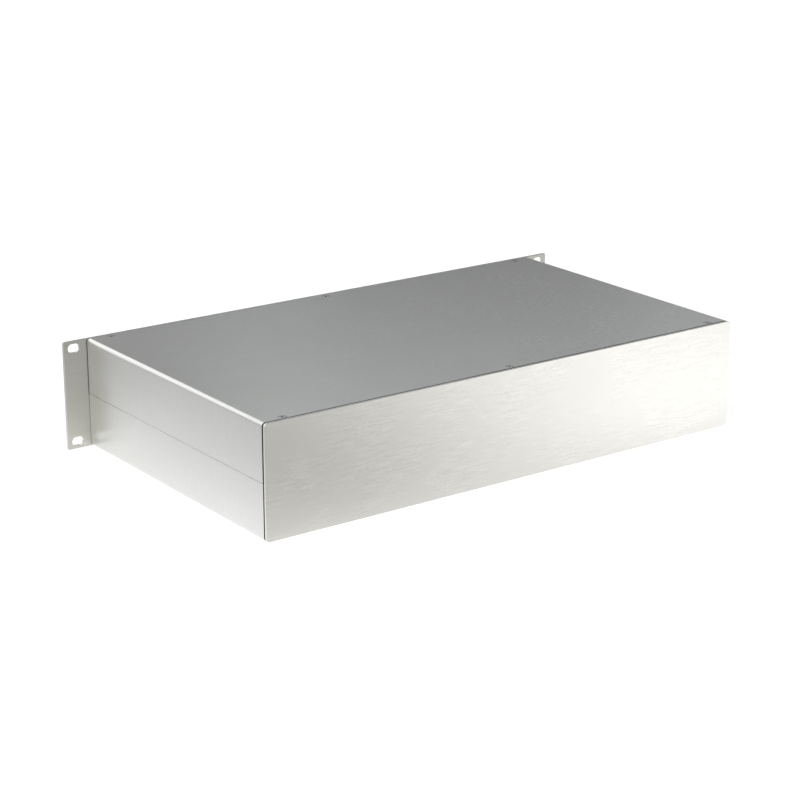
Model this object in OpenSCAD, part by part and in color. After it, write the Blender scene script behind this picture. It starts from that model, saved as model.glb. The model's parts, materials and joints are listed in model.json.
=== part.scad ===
// Rack mount case: a front panel with rack ears, two folded covers that meet in
// a seam just below half the height of the sides, and a flat rear panel. Each panel
// carries an upper and a lower rail on blind studs, and the covers are screwed to
// the rails.
// Millimetres. The origin is under the middle of the case, +Z is up and the front
// panel faces -Y.

/* [Rack panel] */
// Height of the case in rack units
rack_units = 2; // [1:1:4]
// Height of one rack unit
unit_h = 44.45; // [40:0.05:50]
// How much lower the front panel is than its rack units
panel_trim = 0.8; // [0.4:0.1:2]
// Width of the front panel over both ears
panel_w = 482.6; // [475:0.1:500]
// Thickness of the front panel
panel_t = 2.5; // [2:0.1:5]
// Radius of the front panel's corners
panel_corner_r = 0.8; // [0.4:0.1:2]
// Length of a rack slot
slot_l = 10; // [8:0.1:12]
// Width of a rack slot
slot_w = 7; // [6:0.1:8]
// Distance from a slot's centre to the end of the panel
slot_end = 8.75; // [8:0.05:10]
// Distance from a slot's centre to the panel's upper or lower edge
slot_edge = 5.95; // [5:0.05:8]

/* [Body] */
// Width of the body behind the front panel
body_w = 442; // [400:1:446]
// Depth from the front panel's back to the rear panel's outer face
body_d = 257.5; // [150:0.5:500]
// Thickness of the rear panel
rear_t = 2; // [1.8:0.1:4]
// Thickness of the covers' sheet
sheet_t = 1.5; // [1:0.1:2.5]
// Inner radius of the covers' bends
bend_inner_r = 1.5; // [0.5:0.1:3]
// Gap between the two covers at the side seams
seam_gap = 0.1; // [0.1:0.1:1]
// How far the side seams lie below half the height
seam_drop = 1; // [0:0.5:20]
// Gap between the front panel and the top cover
top_gap_front = 0.6; // [0.2:0.1:1.5]
// Gap between the top cover and the rear panel
top_gap_rear = 1.4; // [0.2:0.1:1.5]
// Gap between the front panel and the bottom cover
bottom_gap_front = 0.2; // [0.2:0.1:1.5]
// Gap between the bottom cover and the rear panel
bottom_gap_rear = 1.2; // [0.2:0.1:1.5]

/* [Rails] */
// Depth of a rail from front to back
rail_d = 10; // [9:0.5:14]
// Height of a rail
rail_h = 10; // [8:0.5:14]
// Room between a rail's end and the cover's bend
rail_end_gap = 0.5; // [0.2:0.1:5]

/* [Cover screws] */
// Thread diameter of a cover screw
screw_d = 3; // [2.5:0.1:3.4]
// Length of a cover screw over its head
screw_l = 8; // [6:0.5:10]
// Diameter of a countersunk head
screw_head_d = 5.5; // [4.6:0.1:5.8]
// Height of the straight rim above a head's cone
screw_rim = 0.15; // [0.1:0.05:0.3]
// How far a head lies below the cover's face
screw_sink = 0.05; // [0.05:0.05:0.2]
// Length of the arms of a head's cross recess
recess_l = 3.2; // [2:0.1:3.6]
// Width of the arms of a head's cross recess
recess_w = 0.8; // [0.4:0.1:1]
// Depth of a head's cross recess
recess_depth = 1; // [0.6:0.1:1.2]
// Distance from the outer screws to the side of the body
screw_side = 19; // [14:0.5:30]
// Distance from the front screws to the front panel's back
screw_front = 5.5; // [4.6:0.1:6]
// Distance from the rear screws to the rear panel's inner face
screw_rear = 4.5; // [4.2:0.1:6]
// Room around a screw where it passes through a cover
screw_room = 0.2; // [0.1:0.1:0.5]

/* [Studs and nuts] */
// Number of studs that hold one rail
studs_per_rail = 4; // [2:2:4]
// Distance between neighbouring studs
stud_pitch = 110; // [50:1:120]
// Thread diameter of a stud
stud_d = 3; // [2.5:0.1:4]
// Diameter of a stud's head, pressed into the panel's inner face
stud_head_d = 6; // [5:0.1:8]
// Thickness of a stud's head
stud_head_t = 1; // [0.6:0.1:1.4]
// How far a stud stands out of its nut
stud_tail = 1.5; // [0.5:0.1:4]
// Room around a stud in its rail and washer
stud_room = 0.2; // [0.1:0.05:0.5]
// Outer diameter of a washer
washer_d = 7; // [6.5:0.1:8]
// Thickness of a washer
washer_t = 0.5; // [0.3:0.1:1]
// Width of a nut across its flats
nut_flats = 5.5; // [5:0.1:7]
// Height of a nut
nut_h = 2.4; // [1.8:0.1:4]
// Room between a thread and its tapped hole
thread_room = 0.05; // [0.02:0.01:0.1]

/* [Hidden] */
$fn = 48;

// How far a cutting shape runs past the face that it opens
cut = 1;

case_h = rack_units * unit_h - panel_trim;
case_d = panel_t + body_d;
bend_r = bend_inner_r + sheet_t;
top_cover_h = (case_h - seam_gap) / 2 + seam_drop;
bottom_cover_h = (case_h - seam_gap) / 2 - seam_drop;

// Faces along Y, from front to back
panel_front = -case_d / 2;
panel_back = panel_front + panel_t;
rear_outer = case_d / 2;
rear_inner = rear_outer - rear_t;

rail_l = body_w - 2 * (bend_r + rail_end_gap);
rail_top = case_h - sheet_t;

screw_xs = [for (side = [-1, 0, 1]) side * (body_w / 2 - screw_side)];
screw_top = case_h - screw_sink;
screw_hole_d = screw_d + 2 * screw_room;
tapped_d = screw_d + 2 * thread_room;

stud_xs = [for (i = [0 : studs_per_rail - 1]) (i - (studs_per_rail - 1) / 2) * stud_pitch];
stud_z = rail_top - rail_h / 2;
stud_l = rail_d + washer_t + nut_h + stud_tail;
stud_hole_d = stud_d + 2 * stud_room;
nut_bore_d = stud_d + 2 * thread_room;
nut_corner_d = nut_flats / cos(30);

panel_color = "#b9bab8";
cover_color = "#c2c3c1";
rail_color = "#a9acad";
screw_color = "#d2d4d3";
zinc_color = "#aeb4b4";

// Flat shapes

// Rectangle about the origin with round corners
module round_rectangle(w, h, r) {
    square([w, h - 2 * r], center = true);
    square([w - 2 * r, h], center = true);
    for (x = [-1, 1], y = [-1, 1])
        translate([x * (w / 2 - r), y * (h / 2 - r)])
            circle(r);
}

// Slot about the origin with half-round ends, along X
module slot(l, w) {
    square([l - w, w], center = true);
    for (x = [-1, 1])
        translate([x * (l - w) / 2, 0])
            circle(d = w);
}

// Rectangle that hangs below a level, with its two upper corners round
module arch(w, h, r, level) {
    translate([-w / 2, level - h])
        square([w, h - r]);
    translate([-w / 2 + r, level - h])
        square([w - 2 * r, h]);
    for (x = [-1, 1])
        translate([x * (w / 2 - r), level - r])
            circle(r);
}

// Places

// Stands a flat shape up, from a given Y backwards
module upright(y, t) {
    translate([0, y + t, 0])
        rotate([90, 0, 0])
            linear_extrude(t)
                children();
}

// Takes what points inwards along +Y to the front panel's back
module on_front() {
    translate([0, panel_back, 0])
        children();
}

// Takes the same to the rear panel's inner face, pointing forwards
module on_rear() {
    translate([0, rear_inner, 0])
        rotate([0, 0, 180])
            children();
}

// Takes what is under the top cover to the bottom cover
module turned_over() {
    translate([0, 0, case_h])
        rotate([0, 180, 0])
            children();
}

module along_row(xs, y, z) {
    for (x = xs)
        translate([x, y, z])
            children();
}

// Fasteners

// Round body of a countersunk screw that hangs from its head's top face, or of
// the hole for it, which is open above that face
module countersunk(thread_d, l, above = 0) {
    rotate_extrude()
        polygon([
            [0, above],
            [screw_head_d / 2, above],
            [screw_head_d / 2, -screw_rim],
            [thread_d / 2, -screw_rim - (screw_head_d - thread_d) / 2],
            [thread_d / 2, -l],
            [0, -l]
        ]);
}

module screw() {
    difference() {
        countersunk(screw_d, screw_l);
        for (turn = [0, 90])
            rotate(turn)
                translate([-recess_l / 2, -recess_w / 2, -recess_depth])
                    cube([recess_l, recess_w, recess_depth + cut]);
    }
}

// Stud along +Y, with its head sunk in the panel's inner face
module stud() {
    rotate([-90, 0, 0]) {
        cylinder(h = stud_l, d = stud_d);
        translate([0, 0, -stud_head_t])
            cylinder(h = stud_head_t, d = stud_head_d);
    }
}

// Round hole along +Y, open at both faces of what it goes through
module through_hole(l, d) {
    translate([0, -cut, 0])
        rotate([-90, 0, 0])
            cylinder(h = l + 2 * cut, d = d);
}

module washer() {
    difference() {
        rotate([-90, 0, 0])
            cylinder(h = washer_t, d = washer_d);
        through_hole(washer_t, stud_hole_d);
    }
}

module nut() {
    difference() {
        rotate([-90, 0, 0])
            cylinder(h = nut_h, d = nut_corner_d, $fn = 6);
        through_hole(nut_h, nut_bore_d);
    }
}

// Rows under the top cover, drawn inwards from a panel's inner face at Y = 0

module rail(screw_in) {
    color(rail_color)
        difference() {
            translate([-rail_l / 2, 0, rail_top - rail_h])
                cube([rail_l, rail_d, rail_h]);
            along_row(screw_xs, screw_in, screw_top)
                countersunk(tapped_d, screw_top - rail_top + rail_h + cut, cut);
            along_row(stud_xs, 0, stud_z)
                through_hole(rail_d, stud_hole_d);
        }
}

module stud_row() {
    along_row(stud_xs, 0, stud_z)
        stud();
}

module washer_row() {
    color(zinc_color)
        along_row(stud_xs, rail_d, stud_z)
            washer();
}

module nut_row() {
    color(zinc_color)
        along_row(stud_xs, rail_d + washer_t, stud_z)
            nut();
}

module screw_row(screw_in) {
    color(screw_color)
        along_row(screw_xs, screw_in, screw_top)
            screw();
}

module screw_holes(screw_in) {
    along_row(screw_xs, screw_in, screw_top)
        countersunk(screw_hole_d, screw_l, cut);
}

// Pockets for the heads of both rows of studs, in a panel's inner face
module stud_pockets() {
    module row() {
        along_row(stud_xs, 0, stud_z)
            rotate([90, 0, 0])
                cylinder(h = stud_head_t, d = stud_head_d);
    }
    row();
    turned_over()
        row();
}

// Folded sheet over the top, the way it lies as the top cover
module cover(h, gap_front, gap_rear) {
    front = panel_back + gap_front;
    color(cover_color)
        difference() {
            upright(front, rear_inner - gap_rear - front)
                difference() {
                    arch(body_w, h, bend_r, case_h);
                    arch(body_w - 2 * sheet_t, h + cut, bend_inner_r, case_h - sheet_t);
                }
            on_front()
                screw_holes(screw_front);
            on_rear()
                screw_holes(screw_rear);
        }
}

// Sub-parts

module front_panel() {
    color(panel_color)
        difference() {
            upright(panel_front, panel_t)
                translate([0, case_h / 2])
                    difference() {
                        round_rectangle(panel_w, case_h, panel_corner_r);
                        for (x = [-1, 1], z = [-1, 1])
                            translate([x * (panel_w / 2 - slot_end), z * (case_h / 2 - slot_edge)])
                                slot(slot_l, slot_w);
                    }
            on_front()
                stud_pockets();
        }
}

module rear_panel() {
    color(panel_color)
        difference() {
            upright(rear_inner, rear_t)
                translate([0, case_h / 2])
                    round_rectangle(body_w, case_h, bend_r);
            on_rear()
                stud_pockets();
        }
}

module top_cover() {
    cover(top_cover_h, top_gap_front, top_gap_rear);
}

module bottom_cover() {
    turned_over()
        cover(bottom_cover_h, bottom_gap_front, bottom_gap_rear);
}

module front_top_rail() {
    on_front()
        rail(screw_front);
}

module front_bottom_rail() {
    turned_over()
        front_top_rail();
}

module rear_top_rail() {
    on_rear()
        rail(screw_rear);
}

module rear_bottom_rail() {
    turned_over()
        rear_top_rail();
}

module front_panel_studs() {
    color(zinc_color) {
        on_front()
            stud_row();
        turned_over()
            on_front()
                stud_row();
    }
}

module rear_panel_studs() {
    color(zinc_color) {
        on_rear()
            stud_row();
        turned_over()
            on_rear()
                stud_row();
    }
}

module front_top_washers() {
    on_front()
        washer_row();
}

module front_bottom_washers() {
    turned_over()
        front_top_washers();
}

module rear_top_washers() {
    on_rear()
        washer_row();
}

module rear_bottom_washers() {
    turned_over()
        rear_top_washers();
}

module front_top_nuts() {
    on_front()
        nut_row();
}

module front_bottom_nuts() {
    turned_over()
        front_top_nuts();
}

module rear_top_nuts() {
    on_rear()
        nut_row();
}

module rear_bottom_nuts() {
    turned_over()
        rear_top_nuts();
}

module front_top_screws() {
    on_front()
        screw_row(screw_front);
}

module front_bottom_screws() {
    turned_over()
        front_top_screws();
}

module rear_top_screws() {
    on_rear()
        screw_row(screw_rear);
}

module rear_bottom_screws() {
    turned_over()
        rear_top_screws();
}

front_panel();
rear_panel();
top_cover();
bottom_cover();
front_top_rail();
front_bottom_rail();
rear_top_rail();
rear_bottom_rail();
front_panel_studs();
rear_panel_studs();
front_top_washers();
front_bottom_washers();
rear_top_washers();
rear_bottom_washers();
front_top_nuts();
front_bottom_nuts();
rear_top_nuts();
rear_bottom_nuts();
front_top_screws();
front_bottom_screws();
rear_top_screws();
rear_bottom_screws();
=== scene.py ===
"""Looks of the rack mount case: brushed aluminium sheet, bright screws and a white studio."""

import json
import math

import bmesh
import bpy
from mathutils import Matrix, Vector

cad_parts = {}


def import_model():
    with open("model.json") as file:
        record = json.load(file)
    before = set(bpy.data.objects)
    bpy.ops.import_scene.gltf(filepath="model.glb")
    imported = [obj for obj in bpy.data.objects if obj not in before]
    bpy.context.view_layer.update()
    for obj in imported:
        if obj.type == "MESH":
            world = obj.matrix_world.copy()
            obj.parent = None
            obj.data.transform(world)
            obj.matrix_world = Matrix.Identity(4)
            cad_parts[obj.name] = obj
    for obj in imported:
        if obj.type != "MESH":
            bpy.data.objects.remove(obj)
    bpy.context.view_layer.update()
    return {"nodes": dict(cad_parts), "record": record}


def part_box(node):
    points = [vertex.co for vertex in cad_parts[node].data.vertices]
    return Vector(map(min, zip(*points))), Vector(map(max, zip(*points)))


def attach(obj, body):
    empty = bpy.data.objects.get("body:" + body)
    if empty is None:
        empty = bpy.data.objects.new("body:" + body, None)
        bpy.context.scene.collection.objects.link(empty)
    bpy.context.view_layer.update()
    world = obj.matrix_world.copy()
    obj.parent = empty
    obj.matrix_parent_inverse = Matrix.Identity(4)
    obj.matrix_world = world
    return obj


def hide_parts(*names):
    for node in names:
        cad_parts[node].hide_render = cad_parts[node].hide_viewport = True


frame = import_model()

BODY = "root"
MM = 0.001

# Places that the frame gives, in metres
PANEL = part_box("front_panel")
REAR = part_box("rear_panel")
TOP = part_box("top_cover")
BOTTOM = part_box("bottom_cover")
MID_Z = (PANEL[0].z + PANEL[1].z) / 2
SHEET = TOP[1].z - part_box("front_top_rail")[1].z
SLOTS = next(m for m in frame["record"]["mounts"] if m["name"] == "rack_slots")

# Forming and edges
BEND_R = 3.0 * MM
PANEL_CORNER_R = 0.8 * MM
PANEL_EDGE = 0.25 * MM
SHEET_EDGE = 0.2 * MM
SEAM_EDGE = 0.5 * MM
BEND_STEPS = 14
CORNER_STEPS = 8
EDGE_STEPS = 3

# Cover screws, and the room that the cover leaves round their shanks and heads
SCREW_D = 3.0 * MM
SCREW_HEAD_D = 5.5 * MM
SCREW_RIM = 0.15 * MM
SCREW_PITCH = 0.5 * MM
THREAD_DEPTH = 0.3 * MM
SCREW_ROOM = 0.2 * MM
SEAT_ROOM = 0.35 * MM
SCREW_STEPS = 40

# Cross recess: length and width of its arms and height above the screw's face, at its bottom and its mouth
RECESS = ((1.2 * MM, 0.6 * MM, -1.2 * MM), (3.6 * MM, 1.3 * MM, 0.15 * MM))

# Studs
STUD_HEAD_D = 6.0 * MM
STUD_HEAD_T = 1.0 * MM
STUDS_PER_RAIL = 4

# How far cutters reach out of a face, and how close two points are that become one
CUT_OVER = 1.0 * MM
SAME_POINT = 1e-7

# Shading: the angle from which an edge is sharp, and how strongly large faces set the normals
SHARP_ANGLE = math.radians(40)
NORMAL_WEIGHT = 100


# Outlines in the XZ plane, as lists of points

def arc(cx, cz, r, start, end, steps):
    """Points of an arc with both its ends, from one angle to another in degrees."""
    angles = [math.radians(start + (end - start) * i / steps) for i in range(steps + 1)]
    return [(cx + r * math.cos(a), cz + r * math.sin(a)) for a in angles]


def round_rectangle(low, high, r, inset):
    """Rectangle between two corners with round corners, drawn in by an inset."""
    x0, x1 = low.x + inset, high.x - inset
    z0, z1 = low.z + inset, high.z - inset
    r = r - inset
    return (
        arc(x1 - r, z1 - r, r, 0, 90, CORNER_STEPS)
        + arc(x0 + r, z1 - r, r, 90, 180, CORNER_STEPS)
        + arc(x0 + r, z0 + r, r, 180, 270, CORNER_STEPS)
        + arc(x1 - r, z0 + r, r, 270, 360, CORNER_STEPS)
    )


def slot(cx, cz, length, width, inset):
    """Slot with half-round ends along X, made wider by an inset of the plate round it."""
    r = width / 2 + inset
    half = (length - width) / 2
    return (
        arc(cx + half, cz, r, -90, 90, 2 * CORNER_STEPS)
        + arc(cx - half, cz, r, 90, 270, 2 * CORNER_STEPS)
    )


def cover_section(box, seam_z, crown_z, inset):
    """Section of a folded cover, from its edges at the seam to its crown, drawn in by an inset."""
    up = 1 if crown_z > seam_z else -1
    half = box[1].x - inset
    t = SHEET - 2 * inset
    r_out = BEND_R - inset
    r_in = r_out - t
    r_edge = SEAM_EDGE - inset
    crown = abs(crown_z - seam_z) - inset
    centre = half - r_out, crown - r_out
    right = (
        arc(half - t + r_edge, inset + r_edge, r_edge, 180, 270, EDGE_STEPS)
        + arc(half - r_edge, inset + r_edge, r_edge, 270, 360, EDGE_STEPS)
        + arc(*centre, r_out, 0, 90, BEND_STEPS)
    )
    inner = arc(*centre, r_in, 90, 0, BEND_STEPS)
    mirrored = [[(-x, z) for x, z in reversed(points)] for points in (right, inner)]
    return [(x, seam_z + up * z) for x, z in right + mirrored[0] + mirrored[1] + inner]


# Solids

def new_piece(name, bm):
    """Object from a bmesh, with doubled points joined and its faces turned outwards."""
    bmesh.ops.remove_doubles(bm, verts=bm.verts, dist=SAME_POINT)
    bmesh.ops.dissolve_degenerate(bm, edges=bm.edges, dist=SAME_POINT)
    bmesh.ops.recalc_face_normals(bm, faces=bm.faces)
    mesh = bpy.data.meshes.new(name)
    bm.to_mesh(mesh)
    bm.free()
    piece = bpy.data.objects.new(name, mesh)
    bpy.context.scene.collection.objects.link(piece)
    return piece


def edge_rings(y0, y1, edge):
    """Pairs of inset and Y for a plate between two faces whose edges are rounded."""
    front = []
    for i in range(EDGE_STEPS + 1):
        a = math.radians(90 * i / EDGE_STEPS)
        front.append((edge * (1 - math.sin(a)), edge * (1 - math.cos(a))))
    return [(i, y0 + d) for i, d in front] + [(i, y1 - d) for i, d in reversed(front)]


def extruded(name, outlines, y0, y1, edge):
    """Solid along Y from outlines that are functions of an inset, the first of them outside."""
    bm = bmesh.new()
    rings = edge_rings(y0, y1, edge)
    caps = [[], []]
    for outline in outlines:
        loops = [[bm.verts.new((x, y, z)) for x, z in outline(inset)] for inset, y in rings]
        count = len(loops[0])
        for a, b in zip(loops, loops[1:]):
            for i in range(count):
                j = (i + 1) % count
                bm.faces.new((a[i], a[j], b[j], b[i]))
        for cap, loop in zip(caps, (loops[0], loops[-1])):
            cap += [bm.edges.get((loop[i], loop[(i + 1) % count])) for i in range(count)]
    for cap in caps:
        bmesh.ops.triangle_fill(bm, use_beauty=True, edges=cap)
    return new_piece(name, bm)


def revolved(bm, profile, place, steps):
    """Adds a solid of revolution about Z from pairs of radius and height, put in place by a matrix."""
    rings = []
    for r, z in profile:
        angles = [2 * math.pi * i / steps for i in range(steps)]
        rings.append([bm.verts.new(place @ Vector((r * math.cos(a), r * math.sin(a), z))) for a in angles])
    for a, b in zip(rings, rings[1:]):
        for i in range(steps):
            j = (i + 1) % steps
            bm.faces.new((a[i], a[j], b[j], b[i]))
    bm.faces.new(rings[0])
    bm.faces.new(rings[-1])


def cut(piece, bm):
    """Takes the solids in a bmesh out of a piece."""
    cutter = new_piece("cutter", bm)
    modifier = piece.modifiers.new("cut", "BOOLEAN")
    modifier.operation = "DIFFERENCE"
    modifier.solver = "EXACT"
    modifier.object = cutter
    bpy.context.view_layer.update()
    mesh = bpy.data.meshes.new_from_object(piece.evaluated_get(bpy.context.evaluated_depsgraph_get()))
    piece.modifiers.remove(modifier)
    piece.data = mesh
    bpy.data.objects.remove(cutter)


def finish_piece(piece, node_name, material):
    """Shades a piece, dresses it and puts it in the place of its CAD node."""
    piece.data.shade_smooth()
    piece.data.set_sharp_from_angle(angle=SHARP_ANGLE)
    normals = piece.modifiers.new("normals", "WEIGHTED_NORMAL")
    normals.keep_sharp = True
    normals.weight = NORMAL_WEIGHT
    piece.data.materials.clear()
    piece.data.materials.append(material)
    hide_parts(node_name)
    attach(piece, BODY)


# Materials

# Levels between which most noise lies, and its detail on cut and plated metal
NOISE_LOW = 0.3
NOISE_HIGH = 0.7
FINE_DETAIL = 3.0

# Brushed metal: how far its highlights stretch, how high its lines stand and how much its roughness varies
STRETCH = 0.4
QUARTER_TURN = 0.25
LINE_HEIGHT = 0.02 * MM
BUMP_STRENGTH = 0.1
ROUGHNESS_SPREAD = 0.03

# Marks on brushed metal: changes per metre along the brush lines and across them, and detail of the noise
BRUSH_LINES = (60, 2600, 3.0)
BRUSH_STROKES = (55, 620, 2.0)
SPECKS = (330, 700, 1.0)
SCUFFS = (260, 330, 2.0)
PATCHES = (26, 26, 2.0)

# How strongly the lines show and the tone drifts, and between which levels of their noise the patches begin
LINE_DEPTH = 0.04
TONE_DRIFT = 0.01
PATCH_EDGE = (0.38, 0.62)
PATCH_LEAST = 0.1

# Wear of the covers: where it fades along X, how level a worn face is, and how much is left elsewhere
WORN_SPAN = (-0.12, 0.12)
WORN_LEVEL = (0.5, 0.9)
WORN_LEAST = 0.15
WORN_UPRIGHT = 0.1

# Burrs of cut metal and spots of plating: changes per metre along X, Y and Z, tone and roughness
BURRS = (900, 900, 900)
BURR_TONE = (0.8, 1.2)
BURR_ROUGHNESS = (0.55, 0.75)
SPOTS = (700, 700, 700)
SPOT_TONE = (0.9, 1.08)
SPOT_SPREAD = 0.06

# Painted shade in the screws' rims and recesses: between which depths below their faces it sets in, and
# what it leaves of their tone
RECESS_SHADE_DEPTH = (0.05 * MM, 0.2 * MM)
RECESS_SHADE_LEVEL = 0.03


def new_material(name):
    material = bpy.data.materials.new(name)
    material.use_nodes = True
    tree = material.node_tree
    return material, tree, tree.nodes["Principled BSDF"]


def node(tree, kind, **settings):
    made = tree.nodes.new(kind)
    for key, value in settings.items():
        setattr(made, key, value)
    return made


def axis_of(tree, output, axis):
    """One axis of a texture coordinate: Object gives metres in the part's own frame, Normal a direction."""
    coords = node(tree, "ShaderNodeTexCoord")
    split = node(tree, "ShaderNodeSeparateXYZ")
    tree.links.new(coords.outputs[output], split.inputs["Vector"])
    return split.outputs[axis]


def stretched_noise(tree, scale, detail):
    """Noise whose grain is set by how often it changes per metre along X, Y and Z."""
    coords = node(tree, "ShaderNodeTexCoord")
    mapping = node(tree, "ShaderNodeMapping")
    mapping.inputs["Scale"].default_value = scale
    noise = node(tree, "ShaderNodeTexNoise")
    noise.inputs["Scale"].default_value = 1.0
    noise.inputs["Detail"].default_value = detail
    tree.links.new(coords.outputs["Object"], mapping.inputs["Vector"])
    tree.links.new(mapping.outputs["Vector"], noise.inputs["Vector"])
    return noise.outputs["Fac"]


def ranged(tree, value, low, high, start=NOISE_LOW, end=NOISE_HIGH):
    """Maps a value from one range, by default that of noise, onto another."""
    mapped = node(tree, "ShaderNodeMapRange")
    mapped.inputs["From Min"].default_value = start
    mapped.inputs["From Max"].default_value = end
    mapped.inputs["To Min"].default_value = low
    mapped.inputs["To Max"].default_value = high
    tree.links.new(value, mapped.inputs["Value"])
    return mapped.outputs["Result"]


def math_of(tree, operation, a, b):
    """Math on two values, each a socket or a number."""
    made = node(tree, "ShaderNodeMath", operation=operation)
    for socket, value in zip(made.inputs, (a, b)):
        if isinstance(value, (int, float)):
            socket.default_value = value
        else:
            tree.links.new(value, socket)
    return made.outputs["Value"]


def absolute(tree, value):
    return math_of(tree, "ABSOLUTE", value, 0)


def tinted(tree, factor, color):
    """Colour made lighter and darker by a factor."""
    scale = node(tree, "ShaderNodeVectorMath", operation="SCALE")
    scale.inputs[0].default_value = color
    tree.links.new(factor, scale.inputs["Scale"])
    return scale.outputs["Vector"]


def stretch_highlights(tree, shader, around, turn):
    """Spreads highlights across brush lines that run round an axis or, after a quarter turn, along it."""
    tangent = node(tree, "ShaderNodeTangent", direction_type="RADIAL", axis=around)
    tree.links.new(tangent.outputs["Tangent"], shader.inputs["Tangent"])
    shader.inputs["Anisotropic"].default_value = STRETCH
    shader.inputs["Anisotropic Rotation"].default_value = turn


def worn_area(tree):
    """1 on level faces near the case's right end seen from behind, and little elsewhere."""
    level = ranged(tree, absolute(tree, axis_of(tree, "Normal", "Z")), WORN_UPRIGHT, 1.0, *WORN_LEVEL)
    end = ranged(tree, axis_of(tree, "Object", "X"), 1.0, WORN_LEAST, *WORN_SPAN)
    return math_of(tree, "MULTIPLY", level, end)


def brushed_aluminium(name, color, roughness, brush, strokes, specks, worn=0.0):
    """Brushed aluminium, with short strokes, specks and wear that come and go in patches."""
    material, tree, shader = new_material(name)
    along, across = (Vector(axes) for axes in brush)

    def grain(often_along, often_across, detail):
        return stretched_noise(tree, along * often_along + across * often_across, detail)

    lines = grain(*BRUSH_LINES)
    patches = grain(*PATCHES)
    patchy = ranged(tree, patches, PATCH_LEAST, 1.0, *PATCH_EDGE)
    tone = ranged(tree, patches, 1 - TONE_DRIFT, 1 + TONE_DRIFT)
    marks = [
        (lines, LINE_DEPTH, patchy),
        (grain(*BRUSH_STROKES), strokes, patchy),
        (grain(*SPECKS), specks, patchy),
    ]
    if worn:
        marks.append((grain(*SCUFFS), worn, math_of(tree, "MULTIPLY", patchy, worn_area(tree))))
    for noise, depth, where in marks:
        mark = math_of(tree, "MULTIPLY", ranged(tree, noise, -depth, depth), where)
        tone = math_of(tree, "MULTIPLY", tone, math_of(tree, "ADD", mark, 1))
    tree.links.new(tinted(tree, tone, color), shader.inputs["Base Color"])
    rough = ranged(tree, lines, roughness - ROUGHNESS_SPREAD, roughness + ROUGHNESS_SPREAD)
    tree.links.new(rough, shader.inputs["Roughness"])
    shader.inputs["Metallic"].default_value = 1.0

    bump = node(tree, "ShaderNodeBump")
    bump.inputs["Strength"].default_value = BUMP_STRENGTH
    bump.inputs["Distance"].default_value = LINE_HEIGHT
    tree.links.new(lines, bump.inputs["Height"])
    tree.links.new(bump.outputs["Normal"], shader.inputs["Normal"])
    if across.y:
        stretch_highlights(tree, shader, "Y", QUARTER_TURN)
    else:
        stretch_highlights(tree, shader, "X", 0.0)
    return material


def cut_metal(name, color):
    """Dull, rough metal of a sheared edge."""
    material, tree, shader = new_material(name)
    shader.inputs["Metallic"].default_value = 1.0
    burrs = stretched_noise(tree, BURRS, FINE_DETAIL)
    tree.links.new(tinted(tree, ranged(tree, burrs, *BURR_TONE), color), shader.inputs["Base Color"])
    tree.links.new(ranged(tree, burrs, *BURR_ROUGHNESS), shader.inputs["Roughness"])
    return material


def plated_steel(name, color, roughness):
    """Plated steel with a little unevenness."""
    material, tree, shader = new_material(name)
    shader.inputs["Metallic"].default_value = 1.0
    spots = stretched_noise(tree, SPOTS, FINE_DETAIL)
    tree.links.new(tinted(tree, ranged(tree, spots, *SPOT_TONE), color), shader.inputs["Base Color"])
    rough = ranged(tree, spots, roughness - SPOT_SPREAD, roughness + SPOT_SPREAD)
    tree.links.new(rough, shader.inputs["Roughness"])
    return material


def screw_steel_shaded_recess(name, color, roughness):
    """Plated steel with painted shade that darkens it to near black below the screws' faces, in their rims
    and recesses.
    """
    material = plated_steel(name, color, roughness)
    tree = material.node_tree
    shader = tree.nodes["Principled BSDF"]
    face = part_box("rear_top_screws")[1].z - MID_Z
    height = absolute(tree, math_of(tree, "SUBTRACT", axis_of(tree, "Object", "Z"), MID_Z))
    # Painted shade: the tone falls to near black below the screws' faces
    unshaded = ranged(tree, height, RECESS_SHADE_LEVEL, 1.0, face - RECESS_SHADE_DEPTH[1], face - RECESS_SHADE_DEPTH[0])
    base = shader.inputs["Base Color"].links[0].from_node
    shade = math_of(tree, "MULTIPLY", base.inputs["Scale"].links[0].from_socket, unshaded)
    tree.links.new(shade, base.inputs["Scale"])
    return material


# Axes along the brush lines and across them
COVER_BRUSH = ((1, 0, 1), (0, 1, 0))
PANEL_BRUSH = ((1, 1, 0), (0, 0, 1))

# Metals: their colour, roughness and brushing, and how strongly strokes, specks and wear show
COVER_METAL = brushed_aluminium(
    "cover_aluminium", (0.8, 0.8, 0.785), 0.34, COVER_BRUSH, 0.02, 0.03, worn=0.1
)
FRONT_METAL = brushed_aluminium("front_aluminium", (0.76, 0.76, 0.745), 0.4, PANEL_BRUSH, 0.03, 0.02)
BACK_METAL = brushed_aluminium("back_aluminium", (0.66, 0.653, 0.6), 0.42, PANEL_BRUSH, 0.03, 0.02)
REAR_METAL = brushed_aluminium("rear_aluminium", (0.74, 0.731, 0.695), 0.4, PANEL_BRUSH, 0.06, 0.04)
RAIL_METAL = brushed_aluminium("rail_aluminium", (0.5, 0.51, 0.51), 0.5, PANEL_BRUSH, 0.05, 0.02)
# Near-black cut metal: painted shade in the gaps at the seam and the cover ends, and in the screw seats
GAP_SHADE_METAL = cut_metal("gap_shaded_aluminium", (0.07, 0.07, 0.07))
END_METAL = cut_metal("end_aluminium", (0.4, 0.4, 0.395))
EDGE_METAL = brushed_aluminium("edge_aluminium", (0.82, 0.82, 0.81), 0.34, PANEL_BRUSH, 0.02, 0.02)
SCREW_METAL = screw_steel_shaded_recess("screw_steel_shaded_recess", (0.8, 0.8, 0.79), 0.36)
ZINC = plated_steel("zinc_steel", (0.6, 0.63, 0.64), 0.4)


# Panels and covers

# Share of a normal along an axis from which its face is turned that way, faces that way or is square to it
TURNED = 0.3
FACING = 0.9
SQUARE = 0.99


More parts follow.
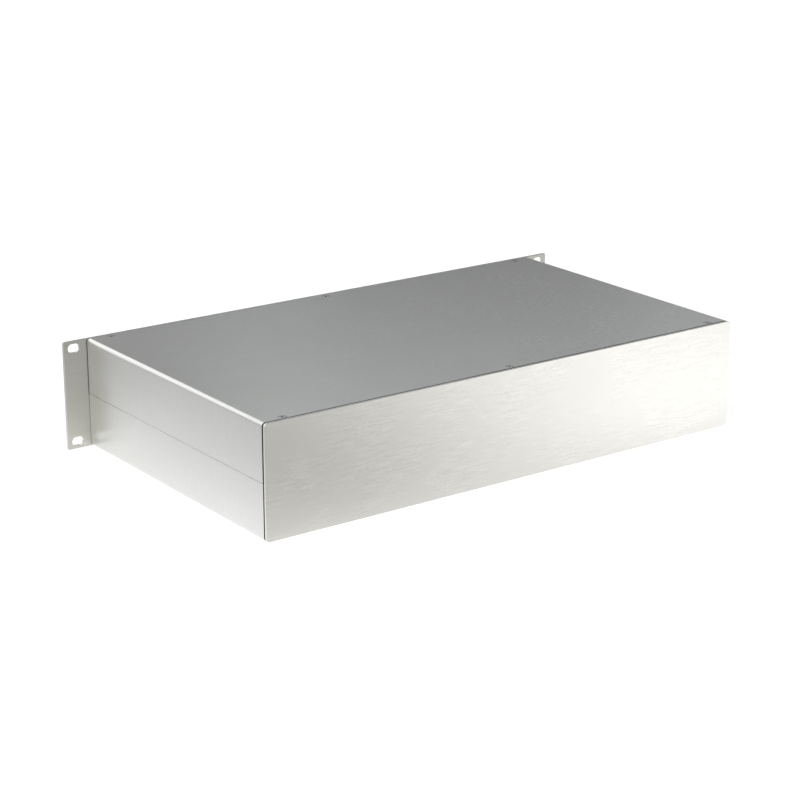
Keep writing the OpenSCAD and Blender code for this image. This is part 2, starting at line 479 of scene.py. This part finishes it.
def stud_places(node_name):
    """Where the stud heads of a panel lie in X and Z."""
    low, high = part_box(node_name)
    r = STUD_HEAD_D / 2
    step = (high.x - low.x - 2 * r) / (STUDS_PER_RAIL - 1)
    return [(low.x + r + i * step, z) for i in range(STUDS_PER_RAIL) for z in (low.z + r, high.z - r)]


def stud_pockets(node_name, face_y, inwards):
    """Discs that cut the pockets of the stud heads out of a panel's inner face."""
    bm = bmesh.new()
    for x, z in stud_places(node_name):
        turn = Matrix.Rotation(math.radians(90 * inwards), 4, "X")
        place = Matrix.Translation((x, face_y, z)) @ turn
        r = STUD_HEAD_D / 2
        revolved(bm, [(r, -STUD_HEAD_T), (r, STUD_HEAD_T)], place, SCREW_STEPS)
    return bm


def front_panel():
    dims = SLOTS["dims"]
    length = dims["slot_length_mm"] * MM
    width = 2 * dims["hole_r_mm"] * MM
    places = [
        (sx * dims["spacing_x_mm"] * MM / 2, MID_Z + sz * dims["spacing_y_mm"] * MM / 2)
        for sx in (-1, 1) for sz in (-1, 1)
    ]
    outlines = [lambda inset: round_rectangle(*PANEL, PANEL_CORNER_R, inset)]
    for x, z in places:
        outlines.append(lambda inset, x=x, z=z: slot(x, z, length, width, inset))
    piece = extruded("front_panel_brushed", outlines, PANEL[0].y, PANEL[1].y, PANEL_EDGE)
    cut(piece, stud_pockets("front_panel_studs", PANEL[1].y, 1))
    finish_piece(piece, "front_panel", FRONT_METAL)
    piece.data.materials.append(BACK_METAL)
    for face in piece.data.polygons:
        face.material_index = int(face.normal.y > FACING)


def rear_panel():
    outlines = [lambda inset: round_rectangle(*REAR, BEND_R, inset)]
    piece = extruded("rear_panel_brushed", outlines, REAR[0].y, REAR[1].y, PANEL_EDGE)
    cut(piece, stud_pockets("rear_panel_studs", REAR[0].y, -1))
    finish_piece(piece, "rear_panel", REAR_METAL)
    piece.data.materials.append(EDGE_METAL)
    for face in piece.data.polygons:
        face.material_index = int(abs(face.normal.y) < FACING)


def screw_places(node_name):
    """Where the heads of a row of screws lie: the middle of each head's top face."""
    low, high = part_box(node_name)
    r = SCREW_HEAD_D / 2
    y = (low.y + high.y) / 2
    z = high.z if "top" in node_name else low.z
    return [Vector((x, y, z)) for x in (low.x + r, (low.x + high.x) / 2, high.x - r)]


def upright(node_name):
    """Turn that points a screw down from the top cover, or up from the bottom cover."""
    return Matrix.Identity(4) if "top" in node_name else Matrix.Rotation(math.pi, 4, "X")


def screw_seats(node_names):
    """Countersunk holes to cut out of a cover, one under each screw."""
    bm = bmesh.new()
    r = SCREW_HEAD_D / 2 + SEAT_ROOM
    hole = SCREW_D / 2 + SCREW_ROOM
    profile = [(r, CUT_OVER), (r, -SCREW_RIM), (hole, -SCREW_RIM - (r - hole)), (hole, -2 * SHEET)]
    for node_name in node_names:
        for place in screw_places(node_name):
            revolved(bm, profile, Matrix.Translation(place) @ upright(node_name), SCREW_STEPS)
    return bm


def shade_gaps_and_dull_ends(piece, box, seam_z, screw_nodes):
    """Gives a cover's seam edges, the ends of its sides and its screw seats a near-black metal as painted
    shade in the gaps and seats, and its other end faces dull cut metal.
    """
    for material in (GAP_SHADE_METAL, END_METAL):
        piece.data.materials.append(material)
    places = [place for node_name in screw_nodes for place in screw_places(node_name)]
    seat_r = SCREW_HEAD_D / 2 + 2 * SEAT_ROOM
    for face in piece.data.polygons:
        at_seam = abs(face.center.z - seam_z) < SHEET_EDGE / 4
        at_end = abs(face.normal.y) > TURNED
        upright_end = at_end and abs(face.center.x) > box[1].x - 2 * SHEET
        near_screw = any((face.center - place).xy.length < seat_r for place in places)
        in_seat = near_screw and abs(face.normal.z) < SQUARE
        # Painted shade on the faces in the gaps and seats
        if at_seam or upright_end or in_seat:
            face.material_index = 1
        elif at_end:
            face.material_index = 2


def cover(name, node_name, box, seam_z, crown_z, screw_nodes):
    """Folded sheet between its seam and its crown, with seats for its rows of screws."""
    outlines = [lambda inset: cover_section(box, seam_z, crown_z, inset)]
    piece = extruded(name, outlines, box[0].y, box[1].y, SHEET_EDGE)
    cut(piece, screw_seats(screw_nodes))
    finish_piece(piece, node_name, COVER_METAL)
    shade_gaps_and_dull_ends(piece, box, seam_z, screw_nodes)


# Screws

def thread_profile(top, bottom):
    """Zigzag of a thread's crests and roots down a shank, as pairs of radius and height."""
    crest, root = SCREW_D / 2, SCREW_D / 2 - THREAD_DEPTH
    turns = int((top - bottom) / SCREW_PITCH) - 1
    points = [(root, top)]
    for i in range(turns):
        z = top - i * SCREW_PITCH
        points += [(crest, z - SCREW_PITCH / 2), (root, z - SCREW_PITCH)]
    return points + [(root - THREAD_DEPTH, bottom)]


def screw_profile(length):
    """Half section of a countersunk screw, from its face to its tip, as pairs of radius and height."""
    r = SCREW_HEAD_D / 2
    cone_end = -SCREW_RIM - (r - SCREW_D / 2)
    rim = arc(r - SCREW_RIM, -SCREW_RIM, SCREW_RIM, 90, 0, EDGE_STEPS)
    head = rim + [(SCREW_D / 2, cone_end)]
    return head + thread_profile(cone_end - THREAD_DEPTH, -length)


def cross_outline(length, width):
    """Corners of a cross with arms of one length and width, in order round it."""
    corners = []
    for quarter in range(4):
        spin = Matrix.Rotation(math.radians(90 * quarter), 2)
        for x, y in ((length, -width), (length, width), (width, width)):
            corners.append(spin @ Vector((x / 2, y / 2)))
    return corners


def cross_recess(place, turn):
    """Cross that narrows towards the bottom of the recess."""
    bm = bmesh.new()
    spin = place @ Matrix.Rotation(math.radians(turn), 4, "Z")
    loops = []
    for length, width, z in RECESS:
        loops.append([bm.verts.new(spin @ Vector((x, y, z))) for x, y in cross_outline(length, width)])
    low, high = loops
    for i in range(len(low)):
        j = (i + 1) % len(low)
        bm.faces.new((low[i], low[j], high[j], high[i]))
    bm.faces.new(low)
    bm.faces.new(high)
    return bm


def screws(node_name, turns):
    """Row of screws whose recesses are turned by angles in degrees."""
    bm = bmesh.new()
    low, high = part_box(node_name)
    places = [Matrix.Translation(p) @ upright(node_name) for p in screw_places(node_name)]
    for place in places:
        revolved(bm, screw_profile(high.z - low.z), place, SCREW_STEPS)
    piece = new_piece(node_name + "_crosshead", bm)
    for place, turn in zip(places, turns):
        cut(piece, cross_recess(place, turn))
    finish_piece(piece, node_name, SCREW_METAL)


def dress_hidden_nodes():
    """Gives the CAD model's rails, studs, washers and nuts their metals."""
    for name, cad in frame["nodes"].items():
        if name.endswith("_rail"):
            cad.data.materials.clear()
            cad.data.materials.append(RAIL_METAL)
        elif name.endswith(("_studs", "_washers", "_nuts")):
            cad.data.materials.clear()
            cad.data.materials.append(ZINC)


front_panel()
rear_panel()
cover("top_cover_folded", "top_cover", TOP, TOP[0].z, TOP[1].z, ("front_top_screws", "rear_top_screws"))
cover(
    "bottom_cover_folded", "bottom_cover", BOTTOM, BOTTOM[1].z, BOTTOM[0].z,
    ("front_bottom_screws", "rear_bottom_screws"),
)
screws("front_top_screws", (20, 65, 40))
screws("rear_top_screws", (70, 35, 10))
screws("front_bottom_screws", (50, 15, 80))
screws("rear_bottom_screws", (5, 60, 30))
dress_hidden_nodes()


# Studio

# Camera at the photograph's viewing angle, with its lens and sensor width
CAMERA_TARGET = Vector((11.7, 0.0, 31.5)) * MM
CAMERA_DISTANCE = 1.735
CAMERA_AZIMUTH = math.radians(144.14)
CAMERA_ELEVATION = math.radians(18.02)
CAMERA_LENS = 98.1
CAMERA_SENSOR = 36.0
CAMERA_BACK = Vector((
    math.sin(CAMERA_AZIMUTH) * math.cos(CAMERA_ELEVATION),
    -math.cos(CAMERA_AZIMUTH) * math.cos(CAMERA_ELEVATION),
    math.sin(CAMERA_ELEVATION),
))
CAMERA_PLACE = CAMERA_TARGET + CAMERA_BACK * CAMERA_DISTANCE

# White floor: size, reflectance, and its glow as the camera sees it, which rises to white further off
FLOOR_SIZE = 16.0
FLOOR_ALBEDO = 0.8
FLOOR_GLOW = 0.65
FAR_RISE = (0.5, 1.5)

# Floor's glow as metal mirrors it: a pool at the case's foot, and more behind the case towards -X
POOL_GLOW = 0.58
POOL_REACH = 0.17
AROUND_GLOW = 0.02
RIGHT_GLOW = 1.11
RIGHT_RISE = (-0.27, 0.13)
REAR_RISE = (0.08, 0.21)

# Surroundings above the floor, as they light the case and as the camera sees them
WORLD_LEVEL = 0.15
WORLD_SEEN = 1.0

# Softboxes: where they hang, what they point at, their width and height, power in watts and colour
MIDDLE = (0.0, 0.0, 0.05)
LEFT_BEND = (0.22, 0.0, 0.09)
WHITE = (1.0, 1.0, 1.0)
COOL = (0.955, 1.0, 1.0)
SOFTBOXES = {
    "front_far": ((-1.32, -0.75, 0.9), MIDDLE, (0.6, 0.5), 0.7, COOL),
    "front_high": ((-0.7, -0.9, 1.0), MIDDLE, (0.6, 0.5), 0.98, COOL),
    "front_low": ((-0.2, -0.9, 0.5), MIDDLE, (0.6, 0.5), 0.08, COOL),
    "front_left": ((0.48, -0.95, 0.58), LEFT_BEND, (1.4, 1.1), 5.5, WHITE),
    "fill": ((1.0, 1.1, 1.4), MIDDLE, (3.2, 2.6), 24.0, WHITE),
    "rear_right": ((-1.1, 1.2, 1.3), MIDDLE, (2.4, 2.0), 4.2, WHITE),
}


def camera():
    data = bpy.data.cameras.new("camera")
    data.sensor_width = CAMERA_SENSOR
    data.lens = CAMERA_LENS
    cam = bpy.data.objects.new("camera", data)
    bpy.context.scene.collection.objects.link(cam)
    cam.location = CAMERA_PLACE
    cam.rotation_euler = CAMERA_BACK.to_track_quat("Z", "Y").to_euler()
    bpy.context.scene.camera = cam


def seen_glow(tree):
    """Glow of the floor for the camera, rising to white further off."""
    coords = node(tree, "ShaderNodeTexCoord")
    distance = node(tree, "ShaderNodeVectorMath", operation="LENGTH")
    tree.links.new(coords.outputs["Object"], distance.inputs[0])
    return ranged(tree, distance.outputs["Value"], FLOOR_GLOW, 1.0, *FAR_RISE)


def mirrored_glow(tree):
    """Glow of the floor for metal and glass, fading off from the case's foot and rising behind it to -X."""
    x = axis_of(tree, "Object", "X")
    y = axis_of(tree, "Object", "Y")
    off_x = math_of(tree, "SUBTRACT", absolute(tree, x), TOP[1].x)
    off_y = math_of(tree, "SUBTRACT", absolute(tree, y), REAR[1].y)
    pool = ranged(tree, math_of(tree, "MAXIMUM", off_x, off_y), POOL_GLOW, AROUND_GLOW, 0.0, POOL_REACH)
    right = ranged(tree, x, RIGHT_GLOW, 0.0, *RIGHT_RISE)
    right.node.interpolation_type = "SMOOTHSTEP"
    rear = ranged(tree, y, 0.0, 1.0, *REAR_RISE)
    return math_of(tree, "ADD", pool, math_of(tree, "MULTIPLY", right, rear))


def floor():
    bm = bmesh.new()
    bmesh.ops.create_grid(bm, x_segments=1, y_segments=1, size=FLOOR_SIZE / 2)
    plane = new_piece("floor", bm)
    material, tree, shader = new_material("white_floor")
    shader.inputs["Base Color"].default_value = (FLOOR_ALBEDO, FLOOR_ALBEDO, FLOOR_ALBEDO, 1)
    shader.inputs["Roughness"].default_value = 1.0
    shader.inputs["Specular IOR Level"].default_value = 0.0
    shader.inputs["Emission Color"].default_value = (1, 1, 1, 1)
    path = node(tree, "ShaderNodeLightPath")
    mirror_rays = path.outputs["Is Glossy Ray"], path.outputs["Is Transmission Ray"]
    mirror_ray = math_of(tree, "MAXIMUM", *mirror_rays)
    seen = math_of(tree, "MULTIPLY", path.outputs["Is Camera Ray"], seen_glow(tree))
    mirrored = math_of(tree, "MULTIPLY", mirror_ray, mirrored_glow(tree))
    tree.links.new(math_of(tree, "ADD", seen, mirrored), shader.inputs["Emission Strength"])
    plane.data.materials.append(material)


def softbox(name, place, target, size, power, color):
    light = bpy.data.lights.new(name, "AREA")
    light.shape = "RECTANGLE"
    light.size, light.size_y = size
    light.energy = power
    light.color = color
    lamp = bpy.data.objects.new(name, light)
    lamp.visible_camera = False
    bpy.context.scene.collection.objects.link(lamp)
    lamp.location = place
    lamp.rotation_euler = (Vector(place) - Vector(target)).to_track_quat("Z", "Y").to_euler()


def world():
    made = bpy.data.worlds.new("studio")
    bpy.context.scene.world = made
    made.use_nodes = True
    tree = made.node_tree
    background = tree.nodes["Background"]
    background.inputs["Color"].default_value = (1, 1, 1, 1)
    path = node(tree, "ShaderNodeLightPath")
    level = ranged(tree, path.outputs["Is Camera Ray"], WORLD_LEVEL, WORLD_SEEN, 0.0, 1.0)
    tree.links.new(level, background.inputs["Strength"])


floor()
world()
for name, settings in SOFTBOXES.items():
    softbox(name, *settings)
camera()
bpy.context.scene.view_settings.view_transform = "Standard"
